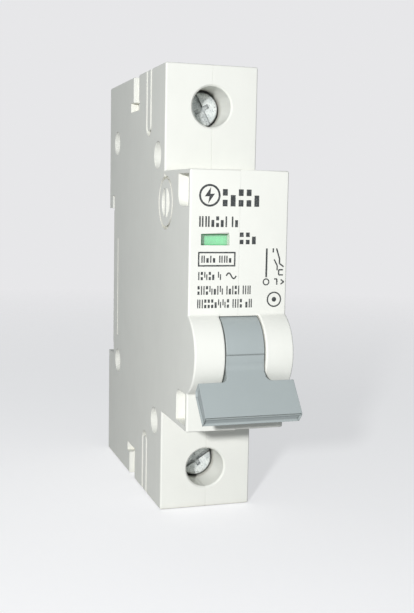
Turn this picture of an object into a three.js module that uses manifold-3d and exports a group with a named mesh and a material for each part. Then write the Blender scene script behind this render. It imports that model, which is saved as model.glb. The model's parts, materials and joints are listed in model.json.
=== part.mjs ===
// One-pole miniature circuit breaker for a 35 mm rail, in millimetres.
// X is the width, -Y is the front with the handle, +Z is up as the breaker is mounted.
// The origin is the middle of the rail seat on the back. The handle is modelled down, in its off position.
import * as THREE from "three";
import { mergeVertices } from "three/addons/utils/BufferGeometryUtils.js";
import Module from "manifold-3d";

const wasm = await Module();
wasm.setup();

// ---- driving dimensions -------------------------------------------------------------------

// Case outline: a stepped block with a 45 mm high nose and a slot for the rail in its back.
const HALF_WIDTH = 8.9;
const TOP = 42;
const BOTTOM = -41.5;
const FRONT = -43;
const NOSE_FRONT = -59.5;
const NOSE_HALF = 22.5;
const BACK = 4.5;
const WALL = 1.5;
const HOOK_LOW = 15;
const HOOK_ROOT = 17.8;
const HOOK_Y = 1.5;
const LIP_TOP = -18;
const SEAT_TOP = 14.5;
const SEAT_BOTTOM = -15.5;
const SEAT_STEP = 0.35;

// The two shells meet just beside the middle plane, so that the seat's middle is on the left shell.
const SEAM_LEFT = 0.08;
const SEAM_RIGHT = 0.2;

// Inside of the shells: hollows as half width, then Y and Z ranges.
const HOLLOWS = [
  [7, NOSE_FRONT + WALL, -41, -14.9, 15.3],
  [5.3, NOSE_FRONT + WALL, -41, -NOSE_HALF + WALL, NOSE_HALF - WALL],
  [7.2, -41.2, -1.6, -21.8, 21.2],
  [6.5, -34, -1.6, 20, 27.1],
  [6.5, -21, -1.6, 20, TOP - 1.7],
  [5.9, -41.2, -22.3, 28.4, TOP - 1.7],
  [5.9, -41.2, -22.3, BOTTOM + 1.6, -28],
  [7.2, -34, -1.6, -26.8, -20],
  [6.5, -21, -1.6, BOTTOM + 1.6, -20],
];
const ENTRY = { half: 4.2, y0: -30, y1: -23.4, wall: 4 };
const VENTS = { half: 4.6, thick: 1.2, at: [-16, -12.6, -9.2] };
const STRAP_WAY = [4.4, 6, -31, -29.2, 26, 30];
const PLATE_WAY = [-4.4, 4.4, -31, -29.2, -29, -26];

// Fine recesses in both side faces. Slots and the vertical groove are Y and Z ranges.
const NOSE_POCKETS = [
  { end: 21.8, edge: 16.2, back: -52.5, r: 2.1 },
  { end: -21.5, edge: -15.9, back: -53, r: 1.7 },
];
const POCKET_FRONT = -58.7;
const POCKET_DEPTH = 2.2;
const KNOCK_OUT = { y: -44.1, z: 16.7, ringR: 4.9, islandR: 4.3, discR: 2.75, ribHalf: 0.5 };
const KNOCK_OUT_DEPTH = { ring: 0.7, disc: 1.2 };
const DIMPLE = { y: -43.3, z: 21.6, r: 0.45, depth: 0.5 };
const SIDE_SLOTS = [
  [-22.8, -18, 36, TOP + 1],
  [-23.3, -15.8, 35, 36.9],
  [-22, -17.2, BOTTOM - 1, -36],
  [-22.2, -15.3, -36.9, -35],
];
const SIDE_GROOVES = [
  { y: -31, z: 31.4, end: TOP + 1 },
  { y: -30.4, z: -31.2, end: BOTTOM - 1 },
];
const GROOVE_HALF = 2.1;
const GROOVE_RIB_HALF = 1.05;
const SLOT_DEPTH = 1.5;
const REAR_GROOVE = { y0: -4.5, y1: -3.9, z0: -13.3, z1: 8.5, depth: 0.35 };

// Running clearances.
const GAP = 0.3;
const FINE_GAP = 0.15;

// Handle: a drum turning between two round cheeks, with a full-width bar. It turns 80 degrees.
// Angles on the drum are counted from the bar.
const HANDLE = { y: -57, z: -8.6 };
const CHEEK = { y: -56.3, z: -9, r: 7.5 };
const BAY = { x0: -3.45, x1: 3.85, r: 6.65 };
const DRUM_R = 6.5;
const DRUM_SKIN_R = 5.6;
const DRUM_GAP = 0.2;
const DRUM_FROM = -135;
const DRUM_TO = 110;
const NECK_FILLET = { r: 1.1, depth: 1.8 };
const NECK_FROM = -30;
const WEB_HALF = 1.6;
const HUB_R = 2.2;
const BAR_ANGLE = 223;
const BAR_HALF = 8.6;
const BAR_LINE = { root: 6.8, tip: 15.1, slope: 7, tipV: -1.45 };
const DRUM_GROOVES = [-43];
const DRUM_GROOVE_R = 0.06;
const PIN_R = 1;
const PIN_END = 7.2;
const PLATE_PIN_END = 6.9;

// Link between the handle and the contact carrier.
const CRANK_R = 4;
const CRANK_ANGLE = -31;
const LINK_LENGTH = 22;
const LINK_ANGLE = 16;
const LINK_R = 0.6;
const LINK_X = 2.6;

// Contact carrier: it turns 23.7 degrees while the handle turns 80.
const CARRIER = { y: -38.4, z: 6.4 };
const CARRIER_SWING = 23.7;
const LEVER_R = 12.5;
const LEVER_ANGLE = -61.4;
const LEVER_SLOT = 0.8;
const ARM_ANGLE = 85.2;
const ARM_START = 3.7;
const ARM_END = 14.6;
const ARM_THICK = 1.5;
const TIP_AT = 13.2;
const TIP_R = 1.5;
const TIP_THICK = 0.8;

// Terminals: rising clamps whose screws are reached through round holes in the front.
const TERMINALS = [
  { name: "top", z: 34.4, up: 1 },
  { name: "bottom", z: -33.8, up: -1 },
];
const SCREW_HOLE_R = 3.75;
const SCREW_TUBE_R = 4.6;
const SCREW_MOUTH_R = 4.05;
const SCREW_TUBE_END = -35.1;
const HEAD_FRONT = -36.6;
const HEAD_BACK = -35;
const HEAD_R = 3.3;
const HEAD_SLOT = { half: 0.45, depth: 1 };
const HEAD_CROSS = { half: 0.4, reach: 1.9, depth: 0.9 };
const SHANK_R = 2;
const SHANK_ROOT_R = 1.65;
const SHANK_END = -30.9;
// The thread is drawn as plain rings this far apart. The real M4 thread has a pitch of 0.7.
const THREAD_RINGS = 1.4;
const CLAMP = { half: 4.7, front: -31.8, back: -22.9, reach: 4.5, side: 1, frontWall: 0.9, backWall: 1.5 };

// Rivets through the case.
const RIVETS = [
  { name: "rivet_upper_rear", y: -2.9, z: 29.3 },
  { name: "rivet_upper_front", y: -38, z: 25.5 },
  { name: "rivet_lower_rear", y: -4.8, z: -19 },
  { name: "rivet_lower_front", y: -37.8, z: -25.3 },
];
const RIVET_RECESS_R = 2.6;
const RIVET_FLOOR = 5.9;
const RIVET_R = 1.2;
const RIVET_HEAD_R = 2.2;
const RIVET_HEAD = 0.4;

// Trip lever, solenoid and bimetal.
const TRIP = { y: -24, z: 7.5 };
const COIL = { z: -4, front: -17, back: -5.8, end: 1.7, turns: 5.5, r: 4.4, wire: 0.75 };
const PLUNGER_FRONT = -10.8;
const PUSHER_TIP = -22.8;

// Arc chute.
const PLATES = 7;
const PLATE_LOW = 24.2;
const PLATE_STEP = 2.2;
const PLATE_THICK = 0.8;
const PLATE_HALF = 5.6;
const PLATE_FRONT = -18.6;
const PLATE_BACK = -6.9;

// Indicator window, in the left shell.
const WINDOW = { x0: -6.8, x1: -1.7, z0: 9.7, z1: 11.6 };
const FLAG_Y = -57.6;
const FLAG_THICK = 0.8;

// Rail clip in the lower back.
const CLIP = { half: 3.4, front: 1.2, back: 4.2, top: -16.2, bottom: -41.2 };
const CLIP_WINDOW = { half: 1.8, top: -24, bottom: -37.4 };
const CLIP_SPRING_TOP = -24.2;
const CLIP_SPRING_FOOT = -35.2;

// ---- colours ------------------------------------------------------------------------------

const white = { color: 0xf4f3ee, roughness: 0.45, metalness: 0 };
const grey = { color: 0xa9b2b6, roughness: 0.5, metalness: 0 };
const zinc = { color: 0xb9bcbc, roughness: 0.35, metalness: 1 };
const steel = { color: 0x9a9c9e, roughness: 0.4, metalness: 1 };
const copper = { color: 0xb87348, roughness: 0.35, metalness: 1 };
const silver = { color: 0xd9d9d6, roughness: 0.3, metalness: 1 };
const black = { color: 0x2a2b2d, roughness: 0.6, metalness: 0 };
const fibre = { color: 0xc9b48a, roughness: 0.8, metalness: 0 };
const green = { color: 0x3fb86a, roughness: 0.5, metalness: 0 };
const red = { color: 0xc8322b, roughness: 0.5, metalness: 0 };
const clear = { color: 0xeaf4f0, roughness: 0.1, metalness: 0, transparent: true, opacity: 0.35 };

// ---- shapes -------------------------------------------------------------------------------

const radians = THREE.MathUtils.degToRad;
const ACROSS = new THREE.Vector3(1, 0, 0);
const BACKWARD = new THREE.Vector3(0, 1, 0);
const UPWARD = new THREE.Vector3(0, 0, 1);

// A point at a distance and an angle from a centre, in the side view (Y right, Z up).
function polar(centre, r, degrees) {
  const a = radians(degrees);
  return { y: centre.y + r * Math.cos(a), z: centre.z + r * Math.sin(a) };
}

// Shape coordinates are (Y, Z), and the shape is drawn out along X.
const SIDE_TO_PART = new THREE.Matrix4().set(0, 0, 1, 0, 1, 0, 0, 0, 0, 1, 0, 0, 0, 0, 0, 1);
// Shape coordinates are (X, Z), and the shape is drawn out along Y.
const FRONT_TO_PART = new THREE.Matrix4().set(1, 0, 0, 0, 0, 0, -1, 0, 0, 1, 0, 0, 0, 0, 0, 1);

function shapeOf(points) {
  return new THREE.Shape(points.map(([a, b]) => new THREE.Vector2(a, b)));
}

function draw(shape, depth, curveSegments = 12) {
  return new THREE.ExtrudeGeometry(shape, { depth, bevelEnabled: false, curveSegments });
}

function sidePrism(outline, x0, x1, curveSegments) {
  const shape = outline instanceof THREE.Shape ? outline : shapeOf(outline);
  return draw(shape, x1 - x0, curveSegments).applyMatrix4(SIDE_TO_PART).translate(x0, 0, 0);
}

function frontPrism(outline, y0, y1, curveSegments) {
  const shape = outline instanceof THREE.Shape ? outline : shapeOf(outline);
  return draw(shape, y1 - y0, curveSegments).applyMatrix4(FRONT_TO_PART).translate(0, y1, 0);
}

function block(x0, x1, y0, y1, z0, z1) {
  const box = new THREE.BoxGeometry(x1 - x0, y1 - y0, z1 - z0);
  return box.translate((x0 + x1) / 2, (y0 + y1) / 2, (z0 + z1) / 2);
}

function rodX(centre, r, x0, x1, segments = 24) {
  const rod = new THREE.CylinderGeometry(r, r, x1 - x0, segments).rotateZ(-Math.PI / 2);
  return rod.translate((x0 + x1) / 2, centre.y, centre.z);
}

function rodY(x, z, r, y0, y1, segments = 24) {
  return new THREE.CylinderGeometry(r, r, y1 - y0, segments).translate(x, (y0 + y1) / 2, z);
}

// A lathe about the Y axis through (x, z). The profile holds [radius, y] pairs and starts and ends on
// the axis.
function turned(x, z, profile, segments = 20) {
  const points = profile.map(([r, y]) => new THREE.Vector2(r, y));
  return new THREE.LatheGeometry(points, segments).translate(x, 0, z);
}

// A flat strip of one thickness that follows corner points in the side view.
function stripOutline(points, thick) {
  const left = [];
  const right = [];
  points.forEach((point, i) => {
    const before = points[Math.max(i - 1, 0)];
    const after = points[Math.min(i + 1, points.length - 1)];
    const into = new THREE.Vector2(point[0] - before[0], point[1] - before[1]).normalize();
    const out = new THREE.Vector2(after[0] - point[0], after[1] - point[1]).normalize();
    const along = into.clone().add(out).normalize();
    const reach = thick / 2 / Math.max(along.dot(i ? into : out), 0.4);
    left.push([point[0] - along.y * reach, point[1] + along.x * reach]);
    right.unshift([point[0] + along.y * reach, point[1] - along.x * reach]);
  });
  return left.concat(right);
}

// A helix that starts beside `foot` and winds about the axis through it.
class Helix extends THREE.Curve {
  constructor(foot, axis, r, length, turns) {
    super();
    Object.assign(this, { foot, axis, r, length, turns });
    this.u = new THREE.Vector3(axis.y, axis.z, axis.x);
    this.v = new THREE.Vector3().crossVectors(axis, this.u);
  }

  getPoint(t, target = new THREE.Vector3()) {
    const a = 2 * Math.PI * this.turns * t;
    target.copy(this.foot).addScaledVector(this.axis, this.length * t);
    target.addScaledVector(this.u, this.r * Math.cos(a));
    return target.addScaledVector(this.v, this.r * Math.sin(a));
  }
}

function circleShape(r, sides) {
  const corners = [];
  for (let i = 0; i < sides; i += 1) {
    const a = (2 * Math.PI * (i + 0.5)) / sides;
    corners.push([r * Math.cos(a), r * Math.sin(a)]);
  }
  return shapeOf(corners);
}

function wireAlong(curve, r, steps, sides = 6) {
  return new THREE.ExtrudeGeometry(circleShape(r, sides), { steps, bevelEnabled: false, extrudePath: curve });
}

function spring(foot, axis, r, length, turns, wireR) {
  return wireAlong(new Helix(foot, axis, r, length, turns), wireR, Math.round(turns * 10), 4);
}

// ---- cutting and joining ------------------------------------------------------------------

function solid(geometry) {
  if (!(geometry instanceof THREE.BufferGeometry)) {
    return geometry;
  }
  const bare = geometry.clone();
  bare.deleteAttribute("normal");
  bare.deleteAttribute("uv");
  const merged = mergeVertices(bare, 1e-4);
  const index = merged.index.array;
  const corners = [];
  for (let i = 0; i < index.length; i += 3) {
    const [a, b, c] = [index[i], index[i + 1], index[i + 2]];
    if (a !== b && b !== c && c !== a) {
      corners.push(a, b, c);
    }
  }
  return new wasm.Manifold(new wasm.Mesh({
    numProp: 3,
    vertProperties: Float32Array.from(merged.attributes.position.array),
    triVerts: Uint32Array.from(corners),
  }));
}

function join(...pieces) {
  return pieces.map(solid).reduce((sum, piece) => sum.add(piece));
}

function cut(body, ...tools) {
  return tools.map(solid).reduce((left, tool) => left.subtract(tool), solid(body));
}

function geometryOf(body) {
  const mesh = solid(body).getMesh();
  const geometry = new THREE.BufferGeometry();
  geometry.setAttribute("position", new THREE.Float32BufferAttribute(mesh.vertProperties, 3));
  geometry.setIndex(Array.from(mesh.triVerts));
  geometry.computeVertexNormals();
  return geometry;
}

const breaker = new THREE.Group();

function add(name, body, look) {
  const mesh = new THREE.Mesh(geometryOf(body), new THREE.MeshStandardMaterial(look));
  mesh.name = name;
  breaker.add(mesh);
  return mesh;
}

// ---- case ---------------------------------------------------------------------------------

function caseOutline() {
  const chord = Math.acos((CHEEK.y - NOSE_FRONT) / CHEEK.r);
  const shape = new THREE.Shape();
  shape.moveTo(FRONT, TOP);
  shape.lineTo(FRONT, NOSE_HALF);
  shape.lineTo(NOSE_FRONT, NOSE_HALF);
  shape.lineTo(NOSE_FRONT, CHEEK.z + CHEEK.r * Math.sin(chord));
  shape.absarc(CHEEK.y, CHEEK.z, CHEEK.r, Math.PI - chord, Math.PI + chord, false);
  shape.lineTo(NOSE_FRONT, -NOSE_HALF);
  shape.lineTo(FRONT, -NOSE_HALF);
  shape.lineTo(FRONT, BOTTOM);
  shape.lineTo(BACK, BOTTOM);
  shape.lineTo(BACK, LIP_TOP);
  shape.lineTo(-SEAT_STEP, LIP_TOP);
  shape.lineTo(-SEAT_STEP, SEAT_BOTTOM);
  shape.lineTo(0, SEAT_BOTTOM);
  shape.lineTo(0, SEAT_TOP);
  shape.lineTo(-SEAT_STEP, SEAT_TOP);
  shape.lineTo(-SEAT_STEP, HOOK_ROOT);
  shape.lineTo(HOOK_Y, HOOK_ROOT);
  shape.lineTo(HOOK_Y, HOOK_LOW);
  shape.lineTo(BACK, HOOK_LOW);
  shape.lineTo(BACK, TOP);
  return shape;
}

// A pocket behind one of the nose's front corners: square in front, round at its inner back corner.
function nosePocket({ end, edge, back, r }) {
  const way = Math.sign(end);
  const shape = new THREE.Shape();
  shape.moveTo(POCKET_FRONT, end);
  shape.lineTo(POCKET_FRONT, edge);
  shape.lineTo(back - r, edge);
  shape.absarc(back - r, edge + way * r, r, -way * Math.PI / 2, 0, way < 0);
  shape.lineTo(back, end);
  return shape;
}

// Outside features that repeat on both side faces.
function sideRecesses(side) {
  const from = (depth) => (side < 0
    ? [-HALF_WIDTH - 1, -HALF_WIDTH + depth]
    : [HALF_WIDTH - depth, HALF_WIDTH + 1]);
  const recess = (outline, depth, segments) => sidePrism(outline, ...from(depth), segments);
  const tools = RIVETS.map((rivet) => rodX(rivet, RIVET_RECESS_R, ...from(HALF_WIDTH - RIVET_FLOOR), 28));
  tools.push(...NOSE_POCKETS.map((pocket) => recess(nosePocket(pocket), POCKET_DEPTH, 8)));

  // Knock-out for an accessory's trip bar: a ring groove round a shallow round recess with a rib left in it.
  const ring = new THREE.Shape();
  ring.absarc(KNOCK_OUT.y, KNOCK_OUT.z, KNOCK_OUT.ringR, 0, 2 * Math.PI, false);
  const island = new THREE.Path();
  island.absarc(KNOCK_OUT.y, KNOCK_OUT.z, KNOCK_OUT.islandR, 0, 2 * Math.PI, true);
  ring.holes.push(island);
  tools.push(recess(ring, KNOCK_OUT_DEPTH.ring, 14));
  tools.push(cut(
    rodX(KNOCK_OUT, KNOCK_OUT.discR, ...from(KNOCK_OUT_DEPTH.disc), 20),
    block(...from(2), KNOCK_OUT.y - KNOCK_OUT.ribHalf, KNOCK_OUT.y + KNOCK_OUT.ribHalf, 10, 24),
  ));
  tools.push(rodX(DIMPLE, DIMPLE.r, ...from(DIMPLE.depth), 12));

  // Slots and grooves for accessories, and a shallow vertical groove near the rail slot.
  tools.push(...SIDE_SLOTS.map((slot) => block(...from(SLOT_DEPTH), ...slot)));
  for (const groove of SIDE_GROOVES) {
    const low = Math.min(groove.z, groove.end);
    const high = Math.max(groove.z, groove.end);
    const long = (half, depth) => join(
      rodX(groove, half, ...from(depth), 20),
      block(...from(depth), groove.y - half, groove.y + half, low, high),
    );
    tools.push(cut(long(GROOVE_HALF, SLOT_DEPTH), long(GROOVE_RIB_HALF, SLOT_DEPTH + 1)));
  }
  const { y0, y1, z0, z1, depth } = REAR_GROOVE;
  tools.push(block(...from(depth), y0, y1, z0, z1));
  return tools;
}

function shell(side) {
  const inner = side < 0 ? SEAM_LEFT : SEAM_RIGHT;
  const span = side < 0 ? [-HALF_WIDTH, inner] : [inner, HALF_WIDTH];
  const pinHole = side < 0 ? [-7.5, 1] : [-1, 7.5];

  // What stays solid inside the hollows: rivet posts, cheeks, screw tubes.
  const wide = (depth) => [-depth, depth];
  const cheekSpan = side < 0 ? [-HALF_WIDTH, BAY.x0] : [BAY.x1, HALF_WIDTH];
  const kept = RIVETS.map((rivet) => rodX(rivet, RIVET_RECESS_R + 1, ...wide(HALF_WIDTH), 20));
  kept.push(rodX(HANDLE, BAY.r + 1.2, ...cheekSpan, 32));
  for (const terminal of TERMINALS) {
    kept.push(rodY(0, terminal.z, SCREW_TUBE_R, FRONT, SCREW_TUBE_END, 24));
  }
  const hollow = cut(
    join(...HOLLOWS.map(([half, y0, y1, z0, z1]) => block(-half, half, y0, y1, z0, z1))),
    ...kept,
  );

  let body = solid(sidePrism(caseOutline(), ...span, 28));
  body = cut(body, hollow);
  body = cut(body, ...sideRecesses(side));
  body = cut(
    body,
    rodX(HANDLE, BAY.r, BAY.x0, BAY.x1, 56),
    block(BAY.x0, BAY.x1, NOSE_FRONT - CHEEK.r, NOSE_FRONT, CHEEK.z - CHEEK.r, CHEEK.z + CHEEK.r),
    rodX(HANDLE, PIN_R + GAP, ...pinHole, 16),
  );
  for (const rivet of RIVETS) {
    body = cut(body, rodX(rivet, RIVET_R + GAP, -HALF_WIDTH - 1, HALF_WIDTH + 1, 14));
  }
  for (const terminal of TERMINALS) {
    body = cut(body, turned(0, terminal.z, [
      [0, FRONT - 1],
      [SCREW_MOUTH_R + 1, FRONT - 1],
      [SCREW_MOUTH_R, FRONT],
      [SCREW_HOLE_R, FRONT + SCREW_MOUTH_R - SCREW_HOLE_R],
      [SCREW_HOLE_R, SCREW_TUBE_END + 1],
      [0, SCREW_TUBE_END + 1],
    ], 36));
  }

  // Wire entries, vents over the arc chute, and the ways through for the two terminals' plates.
  const entry = [-ENTRY.half, ENTRY.half, ENTRY.y0, ENTRY.y1];
  body = cut(
    body,
    block(...entry, TOP - ENTRY.wall, TOP + 1),
    block(...entry, BOTTOM - 1, BOTTOM + ENTRY.wall),
    block(...STRAP_WAY),
    block(...PLATE_WAY),
  );
  for (const y of VENTS.at) {
    const thick = [y - VENTS.thick / 2, y + VENTS.thick / 2];
    body = cut(body, block(-VENTS.half, VENTS.half, ...thick, TOP - 4, TOP + 1));
  }

  if (side < 0) {
    body = cut(body, block(WINDOW.x0, WINDOW.x1, NOSE_FRONT - 1, NOSE_FRONT + 3, WINDOW.z0, WINDOW.z1));
  }

  // Channel for the rail clip, with side grooves and the ledge that the clip spring stands on.
  body = cut(body, block(-3.7, 3.7, 0.9, BACK + 1, BOTTOM - 1, LIP_TOP + 1));
  body = cut(body, block(-5, 5, 1.2, 2.8, -39.8, -18.6));
  body = join(body, block(side < 0 ? -1.4 : inner, side < 0 ? inner : 1.4, 0.5, 3.8, -36.9, -35.4));
  return body;
}

add("housing_left", shell(-1), white);
add("housing_right", shell(1), white);

for (const rivet of RIVETS) {
  const face = RIVET_FLOOR + 0.05;
  add(rivet.name, join(
    rodX(rivet, RIVET_R, -face - 0.1, face + 0.1, 14),
    rodX(rivet, RIVET_HEAD_R, face, face + RIVET_HEAD, 24),
    rodX(rivet, RIVET_HEAD_R, -face - RIVET_HEAD, -face, 24),
  ), zinc);
}

// ---- indicator ----------------------------------------------------------------------------

add("window_lens", block(WINDOW.x0 + FINE_GAP, WINDOW.x1 - FINE_GAP, NOSE_FRONT + 0.15, NOSE_FRONT + 0.75,
  WINDOW.z0 + FINE_GAP, WINDOW.z1 - FINE_GAP), clear);
add("indicator_slider", join(
  block(-6.9, -1, FLAG_Y + FLAG_THICK + 0.05, FLAG_Y + FLAG_THICK + 0.9, 3, 15),
  block(-6.4, -5.2, FLAG_Y + FLAG_THICK + 0.3, -49.2, 4.2, 6.4),
), white);
add("indicator_flag_green", block(-6.9, -1, FLAG_Y, FLAG_Y + FLAG_THICK, 9.2, 12.1), green);
add("indicator_flag_red", block(-6.9, -1, FLAG_Y, FLAG_Y + FLAG_THICK, 12.25, 15), red);

// ---- handle -------------------------------------------------------------------------------

// A ring sector about the handle's axis, between two angles counted from the bar.
function sector(r0, r1, from, to) {
  const a0 = radians(BAR_ANGLE + from);
  const a1 = radians(BAR_ANGLE + to);
  const shape = new THREE.Shape();
  shape.absarc(HANDLE.y, HANDLE.z, r1, a0, a1, false);
  shape.absarc(HANDLE.y, HANDLE.z, r0, a1, a0, true);
  return shape;
}

// Points of the handle in its own frame: u runs out along the bar, v turns upwards to the back of the bar.
function onHandle(u, v) {
  const a = radians(BAR_ANGLE);
  return [HANDLE.y + u * Math.cos(a) - v * Math.sin(a), HANDLE.z + u * Math.sin(a) + v * Math.cos(a)];
}

// The flat front of the bar: v at a distance u from the axis.
function barFront(u) {
  return BAR_LINE.tipV - (BAR_LINE.tip - u) * Math.tan(radians(BAR_LINE.slope));
}

const crank = polar(HANDLE, CRANK_R, CRANK_ANGLE);
const drumSpan = [BAY.x0 + DRUM_GAP, BAY.x1 - DRUM_GAP];

// The neck leaves the drum at a tangent and curves into the front of the bar.
const neckStart = radians(NECK_FROM);
const leave = { u: DRUM_R * Math.cos(neckStart), v: DRUM_R * Math.sin(neckStart) };
const meet = (barFront(leave.u) - leave.v)
  / (Math.cos(neckStart) + Math.sin(neckStart) * Math.tan(radians(BAR_LINE.slope)));
const neckCorner = [leave.u - meet * Math.sin(neckStart), leave.v + meet * Math.cos(neckStart)];
const neck = new THREE.Shape();
neck.moveTo(...onHandle(3, 1.4));
neck.lineTo(...onHandle(3, -2));
neck.lineTo(...onHandle(leave.u, leave.v));
neck.quadraticCurveTo(...onHandle(...neckCorner), ...onHandle(BAR_LINE.root, barFront(BAR_LINE.root)));
neck.lineTo(...onHandle(9, barFront(9)));
neck.lineTo(...onHandle(9.6, 0.6));

// The neck widens into the bar through a fillet at each side, drawn in the plane of the bar's front.
function neckFillet() {
  const { r, depth } = NECK_FILLET;
  const [x0, x1] = drumSpan;
  const root = 8.6;
  const shape = new THREE.Shape();
  shape.moveTo(x0 - r, root + 0.4);
  shape.lineTo(x0 - r, root);
  shape.absarc(x0 - r, root - r, r, Math.PI / 2, 0, true);
  shape.lineTo(x1, root - r);
  shape.absarc(x1 + r, root - r, r, Math.PI, Math.PI / 2, true);
  shape.lineTo(x1 + r, root + 0.4);
  const geometry = draw(shape, 1, 6);
  const place = geometry.attributes.position;
  for (let i = 0; i < place.count; i += 1) {
    const u = place.getY(i);
    place.setXYZ(i, place.getX(i), ...onHandle(u, barFront(u) + place.getZ(i) * depth));
  }
  return geometry;
}

// The bar is a flat paddle with its long edges chamfered.
const barLine = [onHandle(8.6, barFront(8.6)), onHandle(BAR_LINE.tip, BAR_LINE.tipV), onHandle(15.3, -1.1),
  onHandle(15.3, 0.7), onHandle(15.1, 0.95), onHandle(9.4, 0.65), onHandle(8.6, 0.1)];
const grooves = DRUM_GROOVES.map((angle) => rodX(polar(HANDLE, DRUM_R, BAR_ANGLE + angle), DRUM_GROOVE_R,
  ...drumSpan, 6));
const handleBody = cut(
  join(
    sidePrism(sector(DRUM_SKIN_R, DRUM_R, DRUM_FROM, DRUM_TO), ...drumSpan, 32),
    sidePrism(sector(1.5, DRUM_SKIN_R + 0.2, -DRUM_TO, DRUM_TO), -WEB_HALF, WEB_HALF, 16),
    rodX(HANDLE, HUB_R, -WEB_HALF - 0.1, WEB_HALF + 0.1),
    rodX(crank, 1.7, -WEB_HALF, WEB_HALF),
    sidePrism(neck, ...drumSpan, 8),
    neckFillet(),
    sidePrism(barLine, -BAR_HALF, BAR_HALF),
  ),
  rodX(HANDLE, PIN_R + GAP, -9, 9, 20),
  rodX(crank, LINK_R + GAP, -9, 9, 16),
  ...grooves,
);
add("handle", handleBody, grey);
add("handle_pin", rodX(HANDLE, PIN_R, -PIN_END, PIN_END, 20), steel);
add("handle_spring", spring(new THREE.Vector3(-3.02, HANDLE.y, HANDLE.z), ACROSS, 1.75, 1.1, 2, 0.2), steel);

// ---- link rod -----------------------------------------------------------------------------

const linkEnd = polar(crank, LINK_LENGTH, LINK_ANGLE);
const linkPath = new THREE.CurvePath();
const bend = 1.2;
const linkWay = new THREE.Vector3(0, Math.cos(radians(LINK_ANGLE)), Math.sin(radians(LINK_ANGLE)));
const firstCorner = new THREE.Vector3(LINK_X, crank.y, crank.z);
const lastCorner = new THREE.Vector3(LINK_X, linkEnd.y, linkEnd.z);
const inward = new THREE.Vector3(-1, 0, 0);
const before = firstCorner.clone().addScaledVector(inward, bend);
const after = firstCorner.clone().addScaledVector(linkWay, bend);
const nearEnd = lastCorner.clone().addScaledVector(linkWay, -bend);
const farLeg = lastCorner.clone().addScaledVector(inward, bend);
linkPath.add(new THREE.LineCurve3(firstCorner.clone().addScaledVector(inward, 4.8), before));
linkPath.add(new THREE.QuadraticBezierCurve3(before, firstCorner, after));
linkPath.add(new THREE.LineCurve3(after, nearEnd));
linkPath.add(new THREE.QuadraticBezierCurve3(nearEnd, lastCorner, farLeg));
linkPath.add(new THREE.LineCurve3(farLeg, lastCorner.clone().addScaledVector(inward, 4.8)));
add("link_rod", wireAlong(linkPath, LINK_R, 30, 8), steel);

// ---- contact carrier and moving contact -----------------------------------------------------

// A box laid along a ray from the carrier's pivot, between two radii, with a thickness across it.
function onRay(degrees, r0, r1, low, high, x0, x1) {
  const a = radians(degrees);
  const corner = (r, offset) => [
    CARRIER.y + r * Math.cos(a) - offset * Math.sin(a),
    CARRIER.z + r * Math.sin(a) + offset * Math.cos(a),
  ];
  return sidePrism([corner(r0, low), corner(r1, low), corner(r1, high), corner(r0, high)], x0, x1);
}

const lever = polar(CARRIER, LEVER_R, LEVER_ANGLE);
const slotEnd = polar(CARRIER, LEVER_R + LEVER_SLOT, LEVER_ANGLE);
const slotR = LINK_R + GAP;
const armHalf = ARM_THICK / 2;
add("contact_carrier", cut(
  join(
    rodX(CARRIER, 3.4, -4.5, 4.5, 28),
    onRay(LEVER_ANGLE, 0, LEVER_R, -2, 2, -1.6, 1.6),
    rodX(lever, 2, -1.6, 1.6, 20),
    rodX(slotEnd, 2, -1.6, 1.6, 20),
    onRay(ARM_ANGLE, 0, 7, -2.3, 2.3, -2.6, 2.6),
    onRay(-12, 2, 5.2, -1, 1, -1.2, 1.2),
  ),
  rodX(CARRIER, PIN_R + GAP, -9, 9, 20),
  rodX(lever, slotR, -9, 9, 16),
  rodX(slotEnd, slotR, -9, 9, 16),
  onRay(LEVER_ANGLE, LEVER_R, LEVER_R + LEVER_SLOT, -slotR, slotR, -9, 9),
  onRay(ARM_ANGLE, ARM_START - FINE_GAP, 8, -armHalf - FINE_GAP, armHalf + FINE_GAP, -1.65, 1.65),
), black);
add("carrier_pin", rodX(CARRIER, PIN_R, -PLATE_PIN_END, PLATE_PIN_END, 20), steel);
const carrierSpringFoot = new THREE.Vector3(-5.35, CARRIER.y, CARRIER.z);
add("carrier_spring", spring(carrierSpringFoot, ACROSS, 2.2, 0.6, 2, 0.2), steel);
add("moving_contact_arm", onRay(ARM_ANGLE, ARM_START, ARM_END, -armHalf, armHalf, -1.5, 1.5), copper);

// A round contact on a ray from the pivot, its axis across the ray.
function contactDisc(degrees, offset) {
  const a = radians(degrees);
  const place = { y: CARRIER.y + TIP_AT * Math.cos(a), z: CARRIER.z + TIP_AT * Math.sin(a) };
  const disc = new THREE.CylinderGeometry(TIP_R, TIP_R, TIP_THICK, 20);
  disc.rotateX(a - Math.PI / 2);
  return disc.translate(0, place.y + offset * Math.sin(a), place.z - offset * Math.cos(a));
}

const ON_ANGLE = ARM_ANGLE - CARRIER_SWING;
const tipOffset = armHalf + 0.03 + TIP_THICK / 2;
add("moving_contact_tip", contactDisc(ARM_ANGLE, tipOffset), silver);
add("fixed_contact_tip", contactDisc(ON_ANGLE, tipOffset + TIP_THICK + 0.2), silver);

// ---- current path -------------------------------------------------------------------------

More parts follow.
